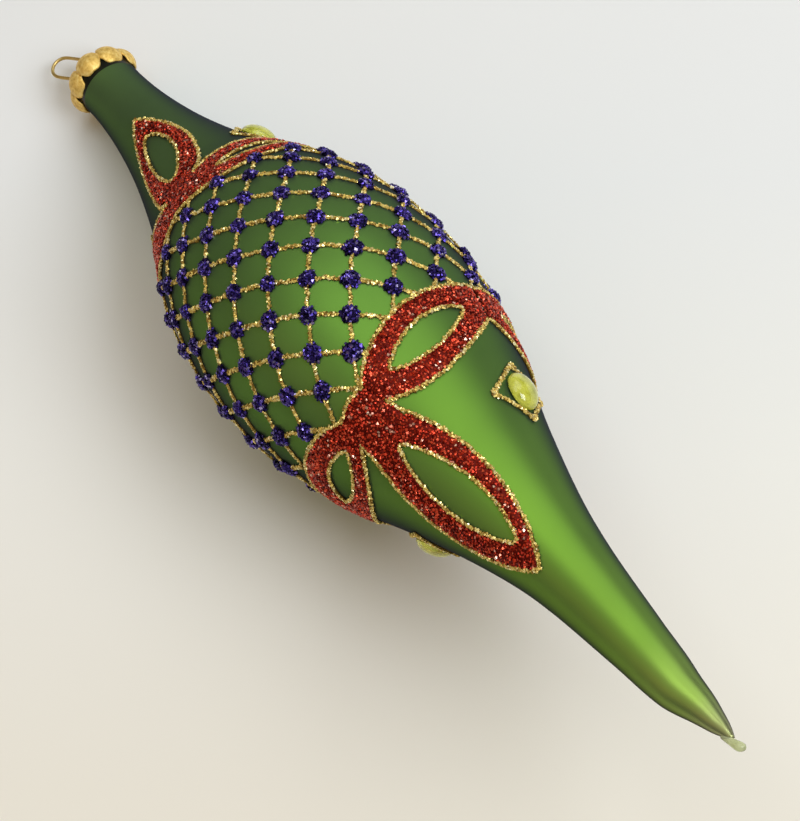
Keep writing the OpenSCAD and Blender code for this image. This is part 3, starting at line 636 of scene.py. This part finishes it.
# Violet dots: a blob of glue on every crossing of the net, dipped in coarse violet glitter, so
# that each dot is a clump of foil chips.
violet_glitter = glitter_finish("violet_glitter", [
    (0.0, (0.003, 0.001, 0.014)), (0.15, (0.010, 0.005, 0.050)), (0.5, (0.050, 0.030, 0.25)),
    (0.82, (0.16, 0.11, 0.52)), (1.0, (0.70, 0.64, 0.95))], 0.88, (0.4, 0.16))
violet_glue_tone = 0.05
violet_chip, violet_tilt, chips_per_dot, chip_stray = 0.72, 38, 52, 0.14
dot_ball = ((dot_d / 2) ** 2 + dot_h ** 2) / (2 * dot_h)
blob_broad, blob_sink, chip_broad, chip_sink = 0.93, 0.25, 0.96, 0.15
spiral_turn = 2.39996
dot_growth, middle_ring = 0.012, 5
for i in range(ring_count):
    draw = np.random.default_rng(100 + i)
    pile = Pile()
    for j in range(dots_round):
        if not dot_fits(i, j):
            continue
        spot, up, round_way, along = on_glass(np.array([ring_at(i), dot_turn(i, j)]))
        squash = draw.uniform(0.92, 1.06, 2)
        squash = squash * (draw.uniform(0.92, 1.10) + dot_growth * (i - middle_ring))
        rim_turn = all_round(14)
        rows = []
        for share in (1.0, 0.92, 0.7, 0.4, 0.12):
            reach = share * dot_d / 2 * blob_broad
            rise = (glue_base if share == 1.0 else
                    glue_gap + math.sqrt(dot_ball ** 2 - reach ** 2) - dot_ball + dot_h - blob_sink)
            rows.append(spot + reach * (squash[0] * np.cos(rim_turn)[:, None] * round_way
                                        + squash[1] * np.sin(rim_turn)[:, None] * along) + rise * up)
        pile.add(*skin(np.array(rows)), violet_glue_tone)
        share = np.sqrt((np.arange(chips_per_dot) + 0.5) / chips_per_dot)
        angle = np.arange(chips_per_dot) * spiral_turn + draw.uniform(0, 6)
        reach = share * dot_d / 2 * chip_broad
        stray_east = draw.uniform(-chip_stray, chip_stray, chips_per_dot)
        stray_north = draw.uniform(-chip_stray, chip_stray, chips_per_dot)
        east = (reach * np.cos(angle) * squash[0] + stray_east)[:, None] * round_way
        north = (reach * np.sin(angle) * squash[1] + stray_north)[:, None] * along
        dome = np.sqrt(np.maximum(0.2, dot_ball ** 2 - reach ** 2))
        rise = glue_gap + dome - dot_ball + dot_h - chip_sink
        spots = spot + east + north + np.maximum(0.25, rise)[:, None] * up
        tones = draw.beta(1.2, 1.6, chips_per_dot) * 0.96 + 0.04
        grains(pile, spots, up + (east + north) / dot_ball, violet_chip, violet_tilt, draw, tones)
    dots = pile.piece(f"violet_dots_{i + 1:02d}", violet_glitter)
    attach(dots, "ornament")
    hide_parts(f"dot_ring_{i + 1:02d}")

# Red bows: ribbon shapes painted in glue above and below the net, front and back, and filled
# with red glitter. Each has a knot, two eyes that reach round the olive, and one long loop.
red_glitter = glitter_finish("red_glitter", [
    (0.0, (0.075, 0.003, 0.001)), (0.15, (0.20, 0.008, 0.003)), (0.5, (0.56, 0.040, 0.014)),
    (0.85, (0.80, 0.12, 0.055)), (1.0, (1.00, 0.72, 0.58))], 0.8, (0.45, 0.2))
red_glue_tone = 0.06
red_chip, red_tilt, red_gap, tries_per_chip = 0.62, 33, 0.47, 5
crown_share, crown_rise = [0, 0.08, 0.25, 0.75, 0.92, 1], [0.35, 0.75, 1, 1, 0.75, 0.35]
ribbon_h, glue_sink, red_sink = 0.8, 0.3, 0.2
edge_gap, under_edging = 0.1, 0.3
thinnest, slit_power, swing_turns = 0.2, 0.75, 0.75
knot_over, knot_foot, knot_flare = 0.5, 0.9, 4.5
even = np.linspace(0, 1, 37)
dense = np.sin(even * math.pi / 2)


def eye_place(x, edge, inset, bow, turn, hand):
    """Places on an eye's outline, towards the net at edge -1 and away from it at 1."""
    trim = degrees_of(inset, bow["at"]) / (eye_stop(bow) - bow["knot_turn"])
    x = trim + (1 - trim) * x
    spill = bow["spill"][2 * hand] * (1 - x ** 4) if edge < 0 else 0
    v = eye_mid(bow, hand, x) + edge * (eye_half(bow, x) - inset) - spill
    reach = bow["knot_turn"] + (eye_stop(bow) - bow["knot_turn"]) * x
    return np.stack([bow["at"] + bow["way"] * v, turn + (2 * hand - 1) * reach], -1)


def slit_place(f, edge, outset, bow, turn, hand):
    """Places on the outline of the slit in an eye."""
    grow = degrees_of(outset, bow["at"]) / (eye_stop(bow) - bow["knot_turn"])
    first, last = bow["span"][hand]
    x = first - grow + (last - first + 2 * grow) * f
    v = (eye_mid(bow, hand, x) + bow["slit_shift"][hand] - bow["spill"][2 * hand] / 2
         + edge * (thinnest + outset + (bow["slit"][hand] - thinnest) * swell(f, slit_power)))
    reach = bow["knot_turn"] + (eye_stop(bow) - bow["knot_turn"]) * x
    return np.stack([bow["at"] + bow["way"] * v, turn + (2 * hand - 1) * reach], -1)


def loop_place(y, side, inset, bow, turn):
    """Places on the long loop's outline, from the knot at 0 to its end at 1."""
    at = bow["at"] + bow["way"] * (bow["loop_from"] + inset + (bow["loop_len"] - 2 * inset) * y)
    broad = np.where(np.asarray(side) < 0, *bow["loop_half"])
    full = broad * swell(bow["hidden"] + (1 - bow["hidden"]) * y, bow["power"])
    half = np.maximum(thinnest, full - inset)
    off = side * half + bow["swing"] * np.sin(swing_turns * math.pi * y)
    return np.stack([at, turn + degrees_of(off, at)], -1)


def hollow_place(y, side, outset, bow, turn):
    """Places on the outline of the hollow in the long loop."""
    first = bow["loop_from"] + bow["loop_rim"][0] - outset
    last = bow["loop_from"] + bow["loop_len"] - bow["loop_rim"][1] + outset
    at = bow["at"] + bow["way"] * (first + (last - first) * y)
    broad = np.where(np.asarray(side) < 0, *bow["hollow_half"])
    half = thinnest + outset + (broad - thinnest) * swell(y, bow["hollow_power"])
    off = side * half + bow["hollow_swing"] * np.sin(swing_turns * math.pi * y)
    return np.stack([at, turn + degrees_of(off, at)], -1)


def both_sides(place, shares, first, *form):
    """An outline that runs out along one side of a form and back along the other."""
    return np.concatenate([place(shares, first, *form), place(shares[::-1], -first, *form)])


def ribbon_strips(bow, turn, inset):
    """Outer and inner outlines of the two eyes, the loop and the knot, and whether they close."""
    strips = []
    for hand in (0, 1):
        eye = both_sides(eye_place, even, -1, inset, bow, turn, hand)
        slit = both_sides(slit_place, even, -1, inset, bow, turn, hand)
        strips.append((eye, slit, True))
    across = np.linspace(-0.8, 0.8, 9)
    start = np.zeros_like(across)
    outlines = []
    for place in (loop_place, hollow_place):
        sides = both_sides(place, dense, 1, inset, bow, turn)
        outlines.append(np.concatenate([sides, place(start, across, inset, bow, turn)]))
    strips.append((*outlines, True))
    sweep = np.linspace(-1, 1, 13)
    knot = bow["knot_turn"] + knot_over
    spill = np.interp(sweep, [-1, 0, 1], bow["spill"])
    near = np.array([inset + knot_edge(bow, f) for f in sweep]) - spill
    foot = np.full(len(sweep), bow["at"] + bow["way"] * (bow["loop_from"] + knot_foot))
    strips.append((
        np.stack([bow["at"] + bow["way"] * near, turn + sweep * knot], -1),
        np.stack([foot, turn + sweep * (knot + knot_flare)], -1),
        False))
    return strips


section_share = np.array([0, 0.03, 0.14, 0.35, 0.65, 0.86, 0.97, 1.0, 0.5])
section_rise = np.array([0, 0.5, 0.86, 1, 1, 0.86, 0.5, 0, 0])


def ribbon(outer, inner, closed, height):
    """A flat bed of glue between two outlines."""
    place = outer[:, None] + (inner - outer)[:, None] * section_share[None, :, None]
    lift = np.broadcast_to(glue_base + section_rise * height, place.shape[:2])
    return skin(on_glass(place, lift)[0], closed)


def strewn(strips, gap, draw):
    """Places over strips, none nearer to another than gap, with their share of the way across."""
    places, shares = [], []
    for outer, inner, closed in strips:
        after = np.roll(np.arange(len(outer)), -1)
        if not closed:
            after = after[:-1]
        outer_here, inner_here = outer[:len(after)], inner[:len(after)]
        outer_next, inner_next = outer[after], inner[after]
        a, b, c, d = (on_glass(p)[0] for p in (outer_here, outer_next, inner_here, inner_next))
        area = np.linalg.norm(np.cross(b - a + d - c, c - a + d - b), axis=1) / 4
        count = int(area.sum() / gap ** 2 * tries_per_chip)
        pick = draw.choice(len(area), count, p=area / area.sum())
        along, across = draw.uniform(0, 1, (2, count, 1))
        on_outer = outer_here[pick] * (1 - along) + outer_next[pick] * along
        on_inner = inner_here[pick] * (1 - along) + inner_next[pick] * along
        places.append(on_outer * (1 - across) + on_inner * across)
        shares.append(across[:, 0])
    places, shares = np.concatenate(places), np.concatenate(shares)
    order = draw.permutation(len(places))
    places, shares = places[order], shares[order]
    spots = on_glass(places)[0]
    cells = np.floor(spots / gap).astype(int)
    taken, kept = {}, []
    around = [(x, y, z) for x in (-1, 0, 1) for y in (-1, 0, 1) for z in (-1, 0, 1)]
    for n, (cell, spot) in enumerate(zip(map(tuple, cells), spots)):
        near = [m for x, y, z in around for m in taken.get((cell[0] + x, cell[1] + y, cell[2] + z), ())]
        if all(((spots[m] - spot) ** 2).sum() > gap * gap for m in near):
            taken.setdefault(cell, []).append(n)
            kept.append(n)
    return places[kept], shares[kept]


def mirrored(bow):
    """The back bows mirror the front ones, so that eyes of one height meet."""
    sided = ("rise", "climb", "slit", "slit_shift", "span", "spill", "loop_half", "hollow_half")
    swapped = {key: bow[key][::-1] for key in sided}
    return {**bow, **swapped, "swing": -bow["swing"], "hollow_swing": -bow["hollow_swing"]}


bow_sides = [("lower_bow_front", lower_bow, 0), ("lower_bow_back", mirrored(lower_bow), 180),
             ("upper_bow_front", upper_bow, 0), ("upper_bow_back", mirrored(upper_bow), 180)]
for number, (node, bow, half_turn) in enumerate(bow_sides):
    draw = np.random.default_rng(200 + number)
    pile = Pile()
    strips = ribbon_strips(bow, bow["turn"] + half_turn, edge_w / 2 + edge_gap - under_edging)
    for outer, inner, closed in strips:
        pile.add(*ribbon(outer, inner, closed, ribbon_h - glue_sink), red_glue_tone)
    places, shares = strewn(strips, red_gap, draw)
    rise = np.interp(shares, crown_share, crown_rise)
    spots, ups, _, _ = on_glass(places, glue_base + rise * (ribbon_h - red_sink))
    tones = draw.beta(1.4, 1.6, len(spots)) * 0.95 + 0.05
    grains(pile, spots, ups, red_chip, red_tilt, draw, tones)
    red = pile.piece("red_" + node, red_glitter)
    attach(red, "ornament")
    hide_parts(node)

# Gold edging: a finer bead of gold glitter that outlines every bow, round the outside and
# round the three hollows.
edge_h, outside_w, hollow_w = 0.7, 0.82, 0.7
edge_chip, edge_thick = 0.56, 1.1
corner_trim = 0.04
for number, (node, bow, half_turn) in enumerate(bow_sides):
    draw = np.random.default_rng(300 + number)
    pile = Pile()
    turn = bow["turn"] + half_turn
    corner = corner_trim + (1 - corner_trim) * even
    knot_tip = np.array([[bow["at"] - bow["way"] * (bow["knot_reach"] + bow["spill"][1]), turn]])
    by_net = np.concatenate([
        eye_place(even[::-1], -1, 0, bow, turn, 0), knot_tip, eye_place(even, -1, 0, bow, turn, 1)])
    far_side = np.concatenate([
        eye_place(corner[::-1], 1, 0, bow, turn, 0), loop_place(dense, -1, 0, bow, turn),
        loop_place(dense[::-1][1:], 1, 0, bow, turn), eye_place(corner, 1, 0, bow, turn, 1)])
    for places in (by_net, far_side):
        bead_line(pile, places, outside_w, edge_h, draw, False, edge_chip, edge_thick)
    slits = [both_sides(slit_place, even, -1, 0, bow, turn, hand) for hand in (0, 1)]
    hollow = both_sides(hollow_place, even, 1, 0, bow, turn)
    for places in (*slits, hollow):
        bead_line(pile, places, hollow_w, edge_h, draw, True, edge_chip, edge_thick)
    edging = pile.piece("gold_" + node.replace("bow", "edging"), gold_glitter)
    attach(edging, "ornament")
    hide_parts(node.replace("bow", "edging"))

# Jewels: lemon-yellow domed acrylic stones, glued flat between the bows, each inside a
# four-pointed outline of gold glitter.
lemon = clouded_finish(
    "lemon_jewel", 420, 3,
    [(0.3, (0.52, 0.54, 0.05)), (0.42, (0.81, 0.83, 0.13)),
     (0.6, (0.90, 0.92, 0.21)), (0.8, (0.98, 0.98, 0.36))],
    {"Roughness": 0.1, "IOR": 1.49, "Transmission Weight": 0.7,
     "Coat Weight": 0.5, "Coat Roughness": 0.05})
foil = clouded_finish(
    "jewel_foil", 700, 2, [(0.3, (0.66, 0.64, 0.18)), (0.7, (1.0, 0.97, 0.50))],
    {"Metallic": 0.6, "Roughness": 0.35})

jewel_len, jewel_w, jewel_h, girdle = 8.7, 7.6, 2.75, 0.5
jewel_rows = [(0.9, glue_gap), (0.985, 0.2), (1.0, girdle)]
for a in np.radians(np.arange(6, 90, 6)):
    jewel_rows.append((math.cos(a), girdle + (jewel_h + glue_gap - girdle) * math.sin(a)))
bed_len, bed_w, bed_line_w = 12.6, 16.2, 0.8
bed_points, bed_start, bed_power, bed_thick = 96, 1.9, 0.95, 1.2
corner_points, corner_broad, corner_chip, corner_thick = 12, 1.5, 0.6, 1.3
jewel_sides = [("lower_right", 147.0, 116.0), ("lower_left", 150.0, 298.0),
               ("upper_right", 48.5, 108.0), ("upper_left", 48.5, 288.0)]


def drawn_in(c):
    """Cosines that make a four-pointed outline of an oval."""
    return np.sign(c) * np.abs(c) ** (2 / bed_power)


for number, (side, at, turn) in enumerate(jewel_sides):
    draw = np.random.default_rng(400 + number)
    pile = Pile()
    angle = np.radians(np.arange(bed_points) * (360 / bed_points) + bed_start)
    places = np.stack([
        at + bed_len / 2 * drawn_in(np.cos(angle)),
        turn + degrees_of(bed_w / 2 * drawn_in(np.sin(angle)), at)], -1)
    bead_line(pile, places, bed_line_w, edge_h, draw, True, edge_chip, bed_thick)
    for corner in range(0, bed_points, bed_points // 4):
        tip = np.roll(places, corner_points // 2 - corner, 0)[:corner_points]
        bead_line(pile, tip, corner_broad * bed_line_w, edge_h, draw, False, corner_chip, corner_thick)
    bed = pile.piece("gold_bed_" + side, gold_glitter)
    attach(bed, "ornament")
    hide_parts("jewel_bed_" + side)

    stone = Pile()
    spot, up, round_way, along = on_glass(np.array([at, turn]))
    rim_turn = all_round(48)
    oval = (jewel_w / 2 * np.cos(rim_turn)[:, None] * round_way
            + jewel_len / 2 * np.sin(rim_turn)[:, None] * along)
    points, faces = skin(np.array([spot + reach * oval + rise * up for reach, rise in jewel_rows]))
    underside = np.arange(len(faces)) == len(faces) - 2
    stone.add(points, faces, 0.0, underside)
    jewel = stone.piece("lemon_jewel_" + side, lemon, foil)
    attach(jewel, "ornament")
    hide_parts("jewel_" + side)

# Cap: a cup of thin brass pressed into eight domed petals and gilt matt. It slips over the neck,
# and its two holes let the wire through.
gilt = clouded_finish(
    "matt_gilt", 1100, 3,
    [(0.3, (0.62, 0.38, 0.08)), (0.5, (0.84, 0.56, 0.14)), (0.7, (0.96, 0.73, 0.27))],
    {"Metallic": 0.5, "Roughness": 0.48})
grain_relief(gilt, 1500, 3, 0.6, 0.0002)

petal_count, petal_turn = 8, 3.9
petal_r, petal_mid_r, petal_at = 4.1, 4.6, 0.55
petal_tilt, petal_spread = math.radians(3.0), 53.0
front_petals, front_by = (2, 4, 6), 0.3
cap_sheet, cap_play, neck_r = 0.4, 0.25, 7.3
axis = np.array([0, 0, 1.0])
rim_turn = all_round(40)
hexed = 1 + 0.05 * np.cos(6 * rim_turn)
petal_shares = np.linspace(0.02, 1, 10)
petal_shells = ((petal_r, petal_shares), (petal_r - cap_sheet, petal_shares[::-1]))
cap = Pile()
for k in range(petal_count):
    turn = math.radians(petal_turn + 360 / petal_count * k)
    out = np.array([math.cos(turn), math.sin(turn), 0])
    side = np.array([-math.sin(turn), math.cos(turn), 0])
    face = out * math.cos(petal_tilt) - axis * math.sin(petal_tilt)
    down = out * math.sin(petal_tilt) + axis * math.cos(petal_tilt)
    middle = out * (petal_mid_r + (front_by if k in front_petals else 0.0)) + axis * petal_at
    flat = np.cos(rim_turn)[:, None] * side + np.sin(rim_turn)[:, None] * down
    rows = []
    for shell, shares in petal_shells:
        for share in shares:
            edge = hexed if share > 0.5 else np.ones_like(hexed)
            bend = np.radians(petal_spread * share * edge)[:, None]
            rows.append(middle + shell * (np.cos(bend) * face + np.sin(bend) * flat))
    cap.add(*skin(np.array(rows)))

plate_sides = 64
plate_r = neck_r + cap_play + cap_sheet
plate_at = -cap_play - cap_sheet
plate_lines = np.array([
    (0.02, plate_at - 0.5), (2.0, plate_at - 0.45), (4.2, plate_at - 0.2), (6.4, plate_at),
    (plate_r - 0.4, plate_at + 0.05), (plate_r - 0.3, 0.6), (neck_r + cap_play, 0.6),
    (neck_r + cap_play, -cap_play), (4.0, -cap_play), (0.02, -cap_play)])
cap.add(*skin(turned(plate_lines[:, 1], plate_lines[:, 0], plate_sides)))
gilt_cap = cap.piece("gilt_cap", gilt)
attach(gilt_cap, "cap")
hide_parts("ornament_cap")

# Hanger: one length of springy gilt wire, bent into a leaning loop above the cap. Its legs pass
# through the cap and spread inside the neck, which is what holds the cap on.
gilt_wire = clouded_finish(
    "gilt_wire", 500, 3, [(0.3, (0.55, 0.38, 0.12)), (0.75, (0.78, 0.60, 0.26))],
    {"Metallic": 0.9, "Roughness": 0.3})

hole_pitch = 6.4
wire_r, wire_rise, loop_reach = 0.4, 3.4, 8.9
loop_lean, loop_turn = math.radians(32.0), math.radians(270.0)
leg_len, leg_end = 26.0, 3.45
loop_way = np.array([math.sin(loop_lean), math.cos(loop_lean)])
loop_side = np.array([loop_way[1], -loop_way[0]])
loop_mid = np.array([0, wire_rise]) + loop_reach * loop_way
loop_r = hole_pitch / 2 * math.cos(loop_lean)
wire_steps, wire_sides, bend_rounds = 260, 16, 6


def leg(side):
    """One leg of the wire from its end in the neck up to the loop."""
    return [(side * leg_end, -leg_len), (side * hole_pitch / 2, -cap_play),
            (side * hole_pitch / 2, cap_play), (side * hole_pitch / 2, wire_rise)]


arc = [tuple(loop_mid + loop_r * (math.sin(a) * loop_way - math.cos(a) * loop_side))
       for a in np.linspace(0, math.pi, 37)]
path = np.array(leg(-1) + arc + leg(1)[::-1])
run = run_of(path)
path = on_run(np.linspace(0, run[-1], wire_steps), run, path)
for _ in range(bend_rounds):
    path[1:-1] = (path[:-2] + 2 * path[1:-1] + path[2:]) / 4
way = unit(np.gradient(path, axis=0))
wire_turn = all_round(wire_sides)
across = path[:, None, 0] - wire_r * np.cos(wire_turn) * way[:, None, 1]
upward = path[:, None, 1] + wire_r * np.cos(wire_turn) * way[:, None, 0]
through = np.broadcast_to(wire_r * np.sin(wire_turn), across.shape)
rows = np.stack([across * math.cos(loop_turn) - through * math.sin(loop_turn),
                 across * math.sin(loop_turn) + through * math.cos(loop_turn), -upward], -1)
wire = Pile()
wire.add(*skin(rows))
hanger = wire.piece("hanger_loop", gilt_wire)
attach(hanger, "hanger")
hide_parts("hanger_wire")
